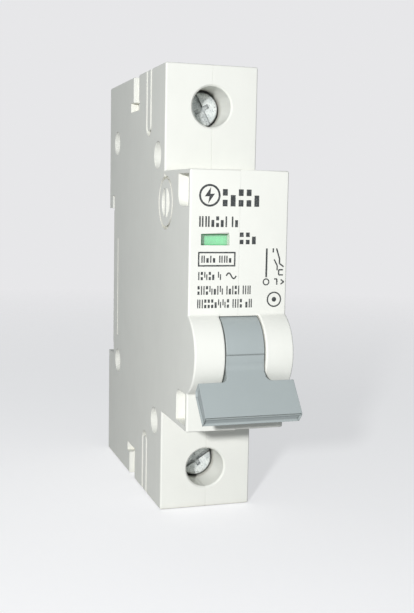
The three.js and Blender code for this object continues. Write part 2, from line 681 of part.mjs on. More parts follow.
// The strip behind the fixed contact, which runs on under the arc chute as the lower arc runner.
const stripThick = 1.2;
const faceOffset = tipOffset + TIP_THICK * 1.5 + 0.25 + stripThick / 2;
function besideArm(r) {
  const a = radians(ON_ANGLE);
  return [
    CARRIER.y + r * Math.cos(a) + faceOffset * Math.sin(a),
    CARRIER.z + r * Math.sin(a) - faceOffset * Math.cos(a),
  ];
}
const barPath = [besideArm(9.6), besideArm(16.2), [-24.6, 21.9], [-7.4, 21.9]];
const runnerPath = [[-33.4, 25.6], [-21, 25.6], [-19.9, 27], [-19.9, 39.4], [-7, 39.4]];
add("fixed_contact_bar", sidePrism(stripOutline(barPath, stripThick), -3.6, 3.6), copper);
add("upper_arc_runner", sidePrism(stripOutline(runnerPath, 0.8), -3.6, 3.6), copper);

for (let i = 0; i < PLATES; i += 1) {
  const z = PLATE_LOW + i * PLATE_STEP;
  const plate = new THREE.Shape();
  plate.moveTo(-PLATE_HALF, 0);
  plate.lineTo(-1.6, 0);
  plate.lineTo(0, 4.6);
  plate.lineTo(1.6, 0);
  plate.lineTo(PLATE_HALF, 0);
  plate.lineTo(PLATE_HALF, PLATE_BACK - PLATE_FRONT);
  plate.lineTo(-PLATE_HALF, PLATE_BACK - PLATE_FRONT);
  add(`arc_plate_${i + 1}`, draw(plate, PLATE_THICK).translate(0, PLATE_FRONT, z - PLATE_THICK / 2), steel);
}
for (const [name, x] of [["arc_side_left", -6.25], ["arc_side_right", 5.75]]) {
  add(name, block(x, x + 0.5, PLATE_FRONT - 0.4, PLATE_BACK + 0.2, PLATE_LOW - 1.2, PLATE_LOW + 14.4), fibre);
}

// The upper terminal's plate has a strap at its side that goes down to the fixed contact.
const PLATE_Y = [-30.6, -29.6];
const topPlate = [
  [-3.4, 38.6], [-3.4, 28.7], [4.7, 28.7], [4.7, 15], [5.7, 15], [5.7, 29.6], [3.4, 29.6], [3.4, 38.6],
];
const bottomPlate = [[-3.4, -38], [3.4, -38], [3.4, -23], [-3.4, -23]];
add("top_terminal_plate", frontPrism(topPlate, ...PLATE_Y), copper);
add("bottom_terminal_plate", frontPrism(bottomPlate, ...PLATE_Y), copper);

for (const { name, z } of TERMINALS) {
  const thread = [];
  for (let y = HEAD_BACK + 0.5; y < SHANK_END - THREAD_RINGS; y += THREAD_RINGS) {
    thread.push([SHANK_ROOT_R, y], [SHANK_R, y + THREAD_RINGS / 2]);
  }
  const screw = turned(0, z, [
    [0, HEAD_FRONT],
    [HEAD_R - 0.3, HEAD_FRONT],
    [HEAD_R, HEAD_FRONT + 0.3],
    [HEAD_R, HEAD_BACK],
    [SHANK_ROOT_R, HEAD_BACK],
    ...thread,
    [SHANK_ROOT_R, SHANK_END - 0.3],
    [SHANK_ROOT_R - 0.35, SHANK_END],
    [0, SHANK_END],
  ], 20);
  const sunk = (depth) => [HEAD_FRONT - 1, HEAD_FRONT + depth];
  add(`${name}_terminal_screw`, cut(
    screw,
    block(-HEAD_R - 1, HEAD_R + 1, ...sunk(HEAD_SLOT.depth), z - HEAD_SLOT.half, z + HEAD_SLOT.half),
    block(-HEAD_CROSS.half, HEAD_CROSS.half, ...sunk(HEAD_CROSS.depth), z - HEAD_CROSS.reach,
      z + HEAD_CROSS.reach),
  ), zinc);
  add(`${name}_terminal_clamp`, cut(
    block(-CLAMP.half, CLAMP.half, CLAMP.front, CLAMP.back, z - CLAMP.reach, z + CLAMP.reach),
    block(-CLAMP.half + CLAMP.side, CLAMP.half - CLAMP.side, CLAMP.front + CLAMP.frontWall,
      CLAMP.back - CLAMP.backWall, z - CLAMP.reach - 1, z + CLAMP.reach + 1),
    rodY(0, z, SHANK_R + GAP, CLAMP.front - 1, CLAMP.front + CLAMP.frontWall + 1, 20),
  ), zinc);
}

// ---- tripping -----------------------------------------------------------------------------

add("trip_lever", cut(
  join(
    rodX(TRIP, 2.2, -4, 4),
    block(-1.8, 1.8, TRIP.y - 0.8, TRIP.y + 0.8, -10, TRIP.z),
    block(-1.8, 1.8, -31, TRIP.y, TRIP.z - 0.1, TRIP.z + 1.5),
  ),
  rodX(TRIP, PIN_R + GAP, -9, 9, 20),
), white);
add("trip_lever_pin", rodX(TRIP, PIN_R, -PLATE_PIN_END, PLATE_PIN_END, 20), steel);
add("trip_lever_spring", spring(new THREE.Vector3(-5.3, TRIP.y, TRIP.z), ACROSS, 1.8, 1, 2, 0.2), steel);
const sidePlate = [
  [-41, 2.4], [-39.5, 1], [-27, 3.6], [-20.6, 3.6], [-20.6, 11.4], [-39.5, 11.4], [-41, 10],
];
for (const [name, x] of [["mechanism_plate_left", -6.7], ["mechanism_plate_right", 5.9]]) {
  add(name, cut(
    sidePrism(sidePlate, x, x + 0.8),
    rodX(CARRIER, PIN_R + FINE_GAP, -9, 9, 20),
    rodX(TRIP, PIN_R + FINE_GAP, -9, 9, 20),
  ), steel);
}

// Solenoid: winding, former, yoke, pole piece and plunger, on an axis along Y.
const windingStart = new THREE.Vector3(0, COIL.front + COIL.end, COIL.z);
const windingLength = COIL.back - COIL.front - 2 * COIL.end;
const winding = new Helix(windingStart, BACKWARD, COIL.r, windingLength, COIL.turns);
add("coil_winding", wireAlong(winding, COIL.wire, Math.round(COIL.turns * 12), 6), copper);
add("coil_former", cut(
  join(
    rodY(0, COIL.z, 3.4, COIL.front, COIL.back),
    rodY(0, COIL.z, 5.5, COIL.front, COIL.front + 0.8, 32),
    rodY(0, COIL.z, 5.5, COIL.back - 0.8, COIL.back, 32),
  ),
  rodY(0, COIL.z, 2.5, COIL.front - 1, COIL.back + 1),
), black);
add("coil_yoke", cut(
  join(
    block(-5.2, 5.2, COIL.front - 1.4, COIL.front - 0.2, COIL.z - 5.6, COIL.z + 7.2),
    block(-5.2, 5.2, COIL.back + 0.2, COIL.back + 1.4, COIL.z - 5.6, COIL.z + 7.2),
    block(-5.2, 5.2, COIL.front - 1.4, COIL.back + 1.4, COIL.z + 6, COIL.z + 7.2),
  ),
  rodY(0, COIL.z, 1.2, COIL.front - 3, COIL.front + 1, 20),
  rodY(0, COIL.z, 2.4, COIL.back - 1, COIL.back + 3, 20),
), steel);
add("pole_piece", cut(
  rodY(0, COIL.z, 2.2, COIL.front - 0.15, COIL.front + 2.8),
  rodY(0, COIL.z, 1.2, COIL.front - 1, COIL.front + 4, 20),
), steel);
add("plunger", turned(0, COIL.z, [
  [0, PUSHER_TIP],
  [0.8, PUSHER_TIP],
  [0.8, PLUNGER_FRONT],
  [2.05, PLUNGER_FRONT],
  [2.05, -4.2],
  [0, -4.2],
], 20), steel);
const plungerSpringFoot = new THREE.Vector3(0, COIL.front + 3, COIL.z);
add("plunger_spring", spring(plungerSpringFoot, BACKWARD, 1.45, 3, 2, 0.17), steel);

add("bimetal_strip", block(-3, 3, -21.6, -20.8, -24, -6.6), steel);
add("bimetal_bracket", cut(
  block(-3.6, 3.6, -20.6, -19.4, -26, -20),
  rodY(0, -22, 0.9, -22, -18, 16),
), copper);
add("calibration_screw", turned(0, -22, [[0, -20.7], [0.6, -20.7], [0.6, -18.2], [0, -18.2]], 16), zinc);

// Flexible lead from the bimetal to the moving contact, passing under and in front of the mechanism.
const braidPath = new THREE.CatmullRomCurve3([
  new THREE.Vector3(-2.4, -22.7, -8.6),
  new THREE.Vector3(-3.9, -24.4, -12.4),
  new THREE.Vector3(-4.4, -31, -14.6),
  new THREE.Vector3(-4.4, -39.5, -11),
  new THREE.Vector3(-4.4, -44, -2),
  new THREE.Vector3(-4, -44.2, 7),
  new THREE.Vector3(-2.4, -42.2, 13.2),
  new THREE.Vector3(0, -39.9, 16),
]);
add("flexible_braid", wireAlong(braidPath, 0.75, 28, 6), copper);

// ---- rail clip ----------------------------------------------------------------------------

const clipOutline = [
  [CLIP.front, CLIP.top],
  [CLIP.front, CLIP.bottom],
  [CLIP.back, CLIP.bottom],
  [CLIP.back, -20.4],
  [2.6, CLIP.top],
];
add("rail_clip", cut(
  join(
    sidePrism(clipOutline, -CLIP.half, CLIP.half),
    block(-4.7, 4.7, 1.5, 2.5, -35.8, -22),
  ),
  block(-CLIP_WINDOW.half, CLIP_WINDOW.half, 0, 6, CLIP_WINDOW.bottom, CLIP_WINDOW.top),
  block(-1.6, 1.6, 3, 6, -40, -38.6),
), grey);
add("rail_clip_spring", spring(new THREE.Vector3(0, 2.6, CLIP_SPRING_FOOT), UPWARD, 1.05,
  CLIP_SPRING_TOP - CLIP_SPRING_FOOT, 6, 0.25), steel);

export default breaker;
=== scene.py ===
"""Looks of a one-pole miniature circuit breaker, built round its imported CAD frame.

The shells, handle, rail clip, clamp screws, rivets, springs, winding and flexible lead are finer meshes that
stand for their CAD nodes. The other nodes keep their CAD shape, with softened edges. The materials are all
procedural.
"""
import json
import random
from math import cos, hypot, pi, radians, sin

import bmesh
import bpy
from mathutils import Matrix, Vector


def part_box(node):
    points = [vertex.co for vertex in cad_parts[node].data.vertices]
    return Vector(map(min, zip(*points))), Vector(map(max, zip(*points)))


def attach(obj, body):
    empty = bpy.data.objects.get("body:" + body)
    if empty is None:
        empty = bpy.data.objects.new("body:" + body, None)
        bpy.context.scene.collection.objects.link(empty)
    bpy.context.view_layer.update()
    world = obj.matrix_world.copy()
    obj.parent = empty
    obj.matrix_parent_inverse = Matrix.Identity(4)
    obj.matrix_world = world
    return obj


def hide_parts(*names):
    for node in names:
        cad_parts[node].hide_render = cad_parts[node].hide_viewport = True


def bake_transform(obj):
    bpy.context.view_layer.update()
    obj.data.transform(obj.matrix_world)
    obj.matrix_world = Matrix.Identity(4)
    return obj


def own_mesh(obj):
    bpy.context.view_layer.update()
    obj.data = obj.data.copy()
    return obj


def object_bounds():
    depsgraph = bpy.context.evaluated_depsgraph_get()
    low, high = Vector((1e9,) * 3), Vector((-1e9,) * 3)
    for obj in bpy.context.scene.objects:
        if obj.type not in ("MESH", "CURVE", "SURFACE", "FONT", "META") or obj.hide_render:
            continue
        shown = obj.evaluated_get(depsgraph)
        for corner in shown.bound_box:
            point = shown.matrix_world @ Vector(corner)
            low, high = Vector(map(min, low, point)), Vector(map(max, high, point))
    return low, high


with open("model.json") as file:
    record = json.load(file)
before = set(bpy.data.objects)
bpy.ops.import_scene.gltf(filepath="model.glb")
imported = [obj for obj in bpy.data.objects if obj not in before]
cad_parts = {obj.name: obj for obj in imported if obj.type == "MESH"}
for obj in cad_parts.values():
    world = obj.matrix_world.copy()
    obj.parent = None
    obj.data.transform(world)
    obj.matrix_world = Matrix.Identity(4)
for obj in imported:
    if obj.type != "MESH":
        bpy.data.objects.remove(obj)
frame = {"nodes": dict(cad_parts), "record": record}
cad_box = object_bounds()
MM = 0.001

# ---- driving values, in millimetres and degrees --------------------------------------------------

CAMERA_PLACE = (-54.8, -213.1, 17.5)
CAMERA_AZIMUTH = -17.78
CAMERA_ELEVATION = 6.44
CAMERA_ROLL = 1.05
CAMERA_LENS = 56.0

KEY_AZIMUTH = -30.0
KEY_ELEVATION = 12.0
KEY_DISTANCE = 340.0
KEY_SIZE = 24.0
KEY_POWER = 1.015
AMBIENT = 0.245
AMBIENT_COLOUR = (0.95, 1.02, 1.04)
BACKDROP = (0.80, 0.80, 0.815)
FLOOR_GLOW = 0.68
FLOOR_COLOUR = (0.5, 0.5, 0.505)
FLOOR_SOLID_R = 90.0
FLOOR_CLEAR_R = 420.0
FLOOR_BACK = 20.0
FLOOR_DROP = 0.05

EDGE_ROUND = 0.3
SEAM_ROUND = 0.04
SEAM_X = 0.08
FINE_ROUND = 0.08
BAR_ROUND = 0.16
CLIP_ROUND = 0.2
SHARP_ANGLE = 35.0
FLAT_ANGLE = 0.4
ROUNDED_ANGLE = 25.0
SOFTENED_ANGLE = 40.0
WELD = 0.001

HANDLE_Y, HANDLE_Z = -57.0, -8.6
HEAD = {"front": -36.6, "back": -35.0, "r": 3.3, "chamfer": 0.3, "slot": 0.4, "depth": 0.6, "reach": 1.5}
SHANK = {"root": 1.62, "crest": 2.0, "end": -30.9, "pitch": 0.7}
SCREW_TURNS = {"top": 62.0, "bottom": -32.0}
RIVET = {"r": 2.2, "height": 0.4, "hollow": 0.75, "shank": 1.2}
# Radius and height along a rivet's dome, as shares of the head's.
RIVET_DOME = ((1, 0.02), (0.97, 0.3), (0.85, 0.62), (0.62, 0.88), (0.36, 1))
WINDING = {"wire": 0.72, "start": 0.75, "turns": 5.5}


def mm(*values):
    return Vector(values) * MM


def mid(node):
    low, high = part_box(node)
    return (low + high) / 2


# ---- materials -----------------------------------------------------------------------------------

class Surface:
    """A Principled material with helpers for its procedural nodes. Noise sizes are in millimetres."""

    def __init__(self, name, metallic=0.0, rough=0.5, **fixed):
        self.material = bpy.data.materials.new(name)
        self.material.use_nodes = True
        self.tree = self.material.node_tree
        self.shader = self.tree.nodes["Principled BSDF"]
        self.shader.inputs["Metallic"].default_value = metallic
        self.shader.inputs["Roughness"].default_value = rough
        for socket, value in fixed.items():
            self.shader.inputs[socket.replace("_", " ")].default_value = value
        self.place = self.node("ShaderNodeTexCoord").outputs["Object"]
        self.normal = None

    def node(self, kind, **settings):
        made = self.tree.nodes.new(kind)
        for key, value in settings.items():
            setattr(made, key, value)
        return made

    def link(self, source, target):
        self.tree.links.new(source, target)

    def noise(self, size, detail=3.0, stretch=(1, 1, 1), distortion=0.0):
        scaled = self.node("ShaderNodeMapping")
        scaled.inputs["Scale"].default_value = [1 / (size * MM * s) for s in stretch]
        self.link(self.place, scaled.inputs["Vector"])
        noise = self.node("ShaderNodeTexNoise")
        noise.inputs["Scale"].default_value = 1.0
        noise.inputs["Detail"].default_value = detail
        noise.inputs["Distortion"].default_value = distortion
        self.link(scaled.outputs["Vector"], noise.inputs["Vector"])
        return noise.outputs["Fac"]

    def span(self, fac, low, high, start=0.3, end=0.7):
        """The factor from start to end, spread from low to high."""
        scaled = self.node("ShaderNodeMapRange")
        for socket, value in zip(("From Min", "From Max", "To Min", "To Max"), (start, end, low, high)):
            scaled.inputs[socket].default_value = value
        self.link(fac, scaled.inputs["Value"])
        return scaled.outputs["Result"]

    def blend(self, fac, first, second):
        """A mix of two colours; each is a colour or a node's output."""
        mix = self.node("ShaderNodeMix", data_type="RGBA")
        for socket, value in ((6, first), (7, second)):
            if isinstance(value, (tuple, list)):
                mix.inputs[socket].default_value = (*value, 1)
            else:
                self.link(value, mix.inputs[socket])
        self.link(fac, mix.inputs[0])
        return mix.outputs[2]

    def crevices(self, reach):
        """1 in the open, falling towards 0 in corners nearer than the reach."""
        hidden = self.node("ShaderNodeAmbientOcclusion", samples=4)
        hidden.inputs["Distance"].default_value = reach * MM
        return hidden.outputs["AO"]

    def edges(self, radius):
        """Shades edges as if rounded to the radius."""
        bevel = self.node("ShaderNodeBevel", samples=4)
        bevel.inputs["Radius"].default_value = radius * MM
        self.normal = bevel.outputs["Normal"]

    def bump(self, height, depth, strength=0.5):
        bump = self.node("ShaderNodeBump")
        bump.inputs["Strength"].default_value = strength
        bump.inputs["Distance"].default_value = depth * MM
        self.link(height, bump.inputs["Height"])
        if self.normal:
            self.link(self.normal, bump.inputs["Normal"])
        self.normal = bump.outputs["Normal"]

    def done(self, colour=None, rough=None):
        if colour is not None:
            self.link(colour, self.shader.inputs["Base Color"])
        if rough is not None:
            self.link(rough, self.shader.inputs["Roughness"])
        if self.normal is not None:
            self.link(self.normal, self.shader.inputs["Normal"])
        return self.material


def shade_of(colour, factor):
    return tuple(channel * factor for channel in colour)


def plastic(name, colour, rough=0.45, edge=0.12, corner_shade=0.93):
    """Moulded plastic: spark-eroded grain, faint flow clouds, and painted shade in the corners, a little
    warmer in hue.
    """
    made = Surface(name)
    clouds = made.noise(9, 2)
    flow = made.noise(2.2, 4, stretch=(1, 1, 3), distortion=0.6)
    tint = made.blend(made.span(clouds, 0, 1), shade_of(colour, 0.965), shade_of(colour, 1.0))
    tint = made.blend(made.span(flow, 0, 0.35), tint, shade_of(colour, 1.02))
    # Painted shade: the colour darkens, and warms a little, in corners and creases found by ambient
    # occlusion.
    shaded_corner_tint = tuple(c * f for c, f in zip(colour, (corner_shade, corner_shade * 0.985, corner_shade * 0.955)))
    tint = made.blend(made.span(made.crevices(1.2), 1, 0, 0.35, 0.95), tint, shaded_corner_tint)
    if edge:
        made.edges(edge)
    made.bump(made.noise(0.16, 5), 0.012, 0.35)
    made.bump(made.noise(4.5, 2), 0.05, 0.12)
    return made.done(tint, made.span(made.noise(1.4, 4), rough - 0.06, rough + 0.07))


def metal(name, colour, worn, rough=0.32, lines=(1, 1, 12), blotch=0.9):
    """Rolled or plated metal: drawn lines, blotches of wear, fine scratches and painted shade in the corners.
    """
    made = Surface(name, metallic=1.0)
    patches = made.span(made.noise(blotch, 5, distortion=1.2), 0, 1, 0.42, 0.66)
    streaks = made.noise(0.09, 3, stretch=lines)
    tint = made.blend(patches, colour, worn)
    tint = made.blend(made.span(streaks, 0, 0.3), tint, shade_of(worn, 0.75))
    # Painted shade: darker in corners and creases found by ambient occlusion.
    tint = made.blend(made.span(made.crevices(0.6), 0.7, 0, 0.3, 0.9), tint, shade_of(worn, 0.5))
    made.edges(0.06)
    made.bump(streaks, 0.006, 0.4)
    made.bump(made.noise(blotch * 0.4, 4), 0.02, 0.3)
    return made.done(tint, made.span(patches, rough, rough + 0.22, 0, 1))


def zinc(name):
    """Zinc plate on a screw or rivet: bright and mottled, with painted shade, nearly black, towards its
    corners.
    """
    made = Surface(name, metallic=0.55)
    pits = made.noise(0.3, 6, distortion=0.3)
    patches = made.noise(0.9, 4, distortion=0.6)
    tint = made.blend(made.span(patches, 0, 1, 0.38, 0.62), (0.93, 0.96, 0.96), (0.70, 0.74, 0.75))
    tint = made.blend(made.span(pits, 0.75, 0, 0.33, 0.47), tint, (0.34, 0.37, 0.37))
    # Painted shade: the head turns nearly black in corners and recesses found by ambient occlusion.
    tint = made.blend(made.span(made.crevices(1.5), 1, 0, 0.12, 0.58), tint, (0.015, 0.017, 0.017))
    made.edges(0.08)
    made.bump(pits, 0.035, 0.6)
    return made.done(tint, made.span(patches, 0.4, 0.6))


def fibre(name):
    made = Surface(name)
    strands = made.noise(0.25, 6, stretch=(1, 6, 1), distortion=1.5)
    tint = made.blend(made.span(strands, 0, 1), (0.42, 0.30, 0.17), (0.62, 0.49, 0.31))
    made.bump(strands, 0.05, 0.6)
    return made.done(tint, made.span(strands, 0.75, 0.9))


def print_ink(name):
    """Pad-printed ink, thin in places."""
    made = Surface(name)
    worn = made.span(made.noise(0.35, 5, distortion=0.5), 0, 1, 0.5, 0.75)
    tint = made.blend(worn, (0.045, 0.05, 0.052), (0.16, 0.17, 0.17))
    made.bump(made.noise(0.12, 3), 0.004, 0.3)
    return made.done(tint, made.span(made.noise(0.5), 0.42, 0.6))


def clear(name):
    """The lens over the indicator: mostly see-through, with a gloss and hair scratches."""
    made = Surface(name, Alpha=0.1, IOR=1.49)
    made.bump(made.noise(0.15, 4, stretch=(8, 1, 1)), 0.003, 0.25)
    tint = made.blend(made.noise(2), (0.9, 0.95, 0.93), (0.96, 0.98, 0.97))
    return made.done(tint, made.span(made.noise(0.4), 0.06, 0.16))


CASE_COLOUR = (0.835, 0.84, 0.795)
LOOKS = {
    "case_plastic": plastic("case_plastic", CASE_COLOUR),
    "handle_plastic": plastic("handle_plastic", (0.395, 0.44, 0.445), rough=0.42, edge=0.1, corner_shade=0.7),
    "clip_plastic": plastic("clip_plastic", (0.80, 0.80, 0.77), rough=0.5),
    "inner_plastic": plastic("inner_plastic", (0.78, 0.77, 0.70), rough=0.5, edge=0.08),
    "black_plastic": plastic("black_plastic", (0.03, 0.03, 0.034), rough=0.5, edge=0.08),
    "green_plastic": plastic("green_plastic", (0.20, 0.80, 0.37), rough=0.5, edge=0, corner_shade=0.8),
    "red_plastic": plastic("red_plastic", (0.60, 0.05, 0.04), rough=0.5, edge=0, corner_shade=0.8),
    "clear_plastic": clear("clear_plastic"),
    "plated_steel": zinc("plated_steel"),
    "steel": metal("steel", (0.58, 0.58, 0.58), (0.42, 0.42, 0.42)),
    "spring_steel": metal("spring_steel", (0.48, 0.48, 0.49), (0.30, 0.29, 0.28), rough=0.28, blotch=0.5),
    "bimetal": metal("bimetal", (0.60, 0.55, 0.46), (0.45, 0.41, 0.36), lines=(12, 1, 1)),
    "copper": metal("copper", (0.80, 0.42, 0.27), (0.50, 0.23, 0.15), rough=0.27, blotch=1.6),
    "brass": metal("brass", (0.80, 0.62, 0.30), (0.55, 0.40, 0.18), blotch=0.6),
    "silver": metal("silver", (0.86, 0.85, 0.82), (0.55, 0.53, 0.50), rough=0.3, blotch=0.5),
    "vulcanised_fibre": fibre("vulcanised_fibre"),
}
PRINT_INK = print_ink("print_ink")
SLOT_OF = {part["node"]: part["material_slot"] for part in frame["record"]["subparts"]}
BODY_OF = {node: body for body, nodes in frame["record"]["behaviour"]["bodies"].items() for node in nodes}


# ---- making pieces -------------------------------------------------------------------------------

def place(name, mesh, node_names, slot=None, body=None, look=None):
    """A new piece that stands for CAD nodes, rides on their body and takes their material.

    An empty tuple as the body leaves the piece attached to no body.
    """
    piece = bpy.data.objects.new(name, mesh)
    bpy.context.scene.collection.objects.link(piece)
    slot = slot or SLOT_OF[node_names[0]]
    mesh.materials.clear()
    mesh.materials.append(look or LOOKS[slot])
    if node_names:
        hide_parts(*node_names)
    if body != ():
        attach(piece, body or BODY_OF[node_names[0]])
    return piece


def mesh_from(bm, name, sharp=SHARP_ANGLE):
    bmesh.ops.recalc_face_normals(bm, faces=bm.faces)
    mesh = bpy.data.meshes.new(name)
    bm.to_mesh(mesh)
    bm.free()
    mesh.shade_smooth()
    mesh.set_sharp_from_angle(angle=radians(sharp))
    return mesh


def settled(name, mesh, *modifiers):
    """The mesh with modifiers applied, each given as (type, {setting: value})."""
    holder = bpy.data.objects.new(name, mesh)
    bpy.context.scene.collection.objects.link(holder)
    for kind, settings in modifiers:
        modifier = holder.modifiers.new(kind.lower(), kind)
        for key, value in settings.items():
            setattr(modifier, key, value)
    bpy.context.view_layer.update()
    result = bpy.data.meshes.new_from_object(holder.evaluated_get(bpy.context.evaluated_depsgraph_get()))
    result.name = name
    bpy.data.objects.remove(holder)
    return result


def whole_faces(node):
    """The node's mesh, welded, with each flat face in one piece."""
    bm = bmesh.new()
    bm.from_mesh(frame["nodes"][node].data)
    bmesh.ops.remove_doubles(bm, verts=bm.verts, dist=WELD * MM)
    bmesh.ops.dissolve_limit(bm, angle_limit=radians(FLAT_ANGLE), verts=bm.verts, edges=bm.edges)
    return bm


def width_along_x(face):
    across = [v.co.x for v in face.verts]
    return max(across) - min(across)


def split_corners(mesh, sharp):
    """Marks each edge that turns by more than the angle as sharp, so that no shading crosses it."""
    bm = bmesh.new()
    bm.from_mesh(mesh)
    for edge in bm.edges:
        edge.smooth = edge.calc_face_angle(pi) < radians(sharp)
    bm.to_mesh(mesh)
    bm.free()


def rounded(node, name, width_of, segments=3, sharp=SHARP_ANGLE, first=None):
    """A copy of a CAD node whose edges are rounded to width_of(edge), in millimetres; 0 leaves an edge sharp.

    The function given as first changes the mesh before that.
    """
    bm = whole_faces(node)
    if first:
        first(bm)
        bm.edges.index_update()
    weight = bm.edges.layers.float.new("bevel_weight_edge")
    widest = 0.0
    chosen = {}
    for edge in bm.edges:
        if len(edge.link_faces) == 2 and edge.calc_face_angle(0) > radians(ROUNDED_ANGLE):
            chosen[edge.index] = width_of(edge)
            widest = max(widest, chosen[edge.index])
    for edge in bm.edges:
        edge[weight] = chosen.get(edge.index, 0) / widest
    bm.edges.index_update()
    mesh = mesh_from(bm, name, sharp)
    bevel = {
        "limit_method": "WEIGHT",
        "width": widest * MM,
        "segments": segments,
        "use_clamp_overlap": False,
        "loop_slide": False,
    }
    mesh = settled(name, mesh, ("BEVEL", bevel))
    split_corners(mesh, sharp)
    return settled(name, mesh, ("WEIGHTED_NORMAL", {"keep_sharp": True, "weight": 60}))


# ---- case ----------------------------------------------------------------------------------------

HALF_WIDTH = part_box("housing_left")[0].x / -MM
WIDE_WALL = 4.0
NOSE_TOP = 22.5
CHEEK_X = (-3.45, 3.85)
RIGHT_SEAM_X = 0.2
SHORTEST_ROUNDED = 0.2
# Limits that sort the case's edges. An edge wholly behind the first stays sharp. The next two find the case's
# front and ends, the fourth what stands forward as the nose, and the last the nose's own front.
SHARP_BEHIND_Y = -1.0
FRONT_FROM_Y = -42.9
ENDS_FROM_Z = 41.4
NOSE_FROM_Y = -43.1
NOSE_FRONT_FROM_Y = -59.4


def near(value, *targets, by=0.01):
    return any(abs(value - target) < by for target in targets)


def case_edge(edge):
    """Outline edges and long corners get the full round, the seam a small one, the fine recesses none."""
    a, b = (v.co / MM for v in edge.verts)
    if min(a.y, b.y) > SHARP_BEHIND_Y or edge.calc_length() < SHORTEST_ROUNDED * MM:
        return 0
    walls = [width_along_x(face) / MM for face in edge.link_faces]
    if near(abs(a.x), HALF_WIDTH) and near(abs(b.x), HALF_WIDTH):
        return EDGE_ROUND if max(walls) > WIDE_WALL else 0
    outside = a.y < FRONT_FROM_Y or abs(a.z) > ENDS_FROM_Z
    if near(a.x, SEAM_X) and near(b.x, SEAM_X):
        on_nose = max(a.y, b.y) < NOSE_FROM_Y
        on_top = near(a.z, NOSE_TOP) and near(b.z, NOSE_TOP)
        return SEAM_ROUND * (not on_nose or on_top) if outside else 0
    along_x = abs(a.y - b.y) + abs(a.z - b.z) < 0.01
    if along_x and outside and min(walls) > WIDE_WALL:
        return EDGE_ROUND
    on_cheek = near(a.x, *CHEEK_X) and near(b.x, *CHEEK_X)
    return EDGE_ROUND if on_cheek and max(a.y, b.y) < NOSE_FRONT_FROM_Y else 0


def close_seam(bm):
    """Brings the right shell's joint face up to the left one's."""
    for v in bm.verts:
        if near(v.co.x / MM, RIGHT_SEAM_X):
            v.co.x = SEAM_X * MM


for half in ("left", "right"):
    shell = rounded(f"housing_{half}", f"shell_{half}", case_edge, first=close_seam)
    place(f"shell_{half}", shell, [f"housing_{half}"])

# ---- handle and rail clip ------------------------------------------------------------------------

BAR_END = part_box("handle")[1].x / MM
END_RIM = 0.35
END_SINK = 0.4
# Within the first an edge lies between the drum's sides. Beyond the two radii it lies on the drum's rim and
# out along the bar.
DRUM_INNER_X = 3.0
RIM_FROM_R = 6.4
BAR_FROM_R = 8.0


def sink_ends(bm):
    """Sinks the two end faces of the bar inside a rim."""
    ends = [f for f in bm.faces if all(near(abs(v.co.x / MM), BAR_END) for v in f.verts)]
    bmesh.ops.inset_individual(bm, faces=ends, thickness=END_RIM * MM, depth=-END_SINK * MM)


def handle_edge(edge):
    """The bar's edges are rounded clear of the drum; on the drum only the two rims are."""
    a, b = (v.co / MM for v in edge.verts)
    reach = [hypot(p.y - HANDLE_Y, p.z - HANDLE_Z) for p in (a, b)]
    if edge.calc_length() < SHORTEST_ROUNDED * MM or max(abs(a.x), abs(b.x)) < DRUM_INNER_X:
        return BAR_ROUND if min(reach) > BAR_FROM_R else 0
    return BAR_ROUND if min(reach) > RIM_FROM_R else 0


place("handle_lever", rounded("handle", "handle_lever", handle_edge, first=sink_ends), ["handle"])
place("clip_slide", rounded("rail_clip", "clip_slide", lambda edge: CLIP_ROUND), ["rail_clip"])


# ---- turned pieces -------------------------------------------------------------------------------

def ring_surface(bm, rings):
    """A closed surface through rings of points; the first and last rings are capped."""
    rows = [[bm.verts.new(point * MM) for point in ring] for ring in rings]
    for low, high in zip(rows, rows[1:]):
        for i in range(len(low)):
            j = (i + 1) % len(low)
            bm.faces.new((low[i], low[j], high[j], high[i]))
    bm.faces.new(rows[0])
    bm.faces.new(rows[-1])


def circle(centre, r, sides, u, v):
    return [centre + r * (cos(2 * pi * i / sides) * u + sin(2 * pi * i / sides) * v) for i in range(sides)]


def turned(bm, centre, axis, profile, sides=48):
    """A lathe about an axis through a centre. The profile holds (radius, distance along the axis) pairs."""
    u = axis.orthogonal().normalized()
    v = axis.cross(u)
    ring_surface(bm, [circle(centre + axis * along, max(r, 0.01), sides, u, v) for r, along in profile])


def carved(name, bm, *cutters):
    """The mesh with closed cutter meshes taken away."""
    holders = []
    for cutter in cutters:
        mesh = bpy.data.meshes.new("cutter")
        bmesh.ops.recalc_face_normals(cutter, faces=cutter.faces)
        cutter.to_mesh(mesh)
        holders.append(bpy.data.objects.new("cutter", mesh))
        bpy.context.scene.collection.objects.link(holders[-1])
    exact = {"operation": "DIFFERENCE", "solver": "EXACT"}
    steps = [("BOOLEAN", {**exact, "object": holder}) for holder in holders]
    mesh = settled(name, mesh_from(bm, name), *steps)
    for holder in holders:
        bpy.data.objects.remove(holder)
    mesh.shade_smooth()
    mesh.set_sharp_from_angle(angle=radians(SHARP_ANGLE))
    return mesh


def box_cutter(low, high, spin, centre):
    bm = bmesh.new()
    bmesh.ops.create_cube(bm, size=1)
    for v in bm.verts:
        v.co = Vector([(a + b) / 2 + c * (b - a) for a, b, c in zip(low, high, v.co)])
        v.co = (spin @ v.co + centre) * MM
    return bm


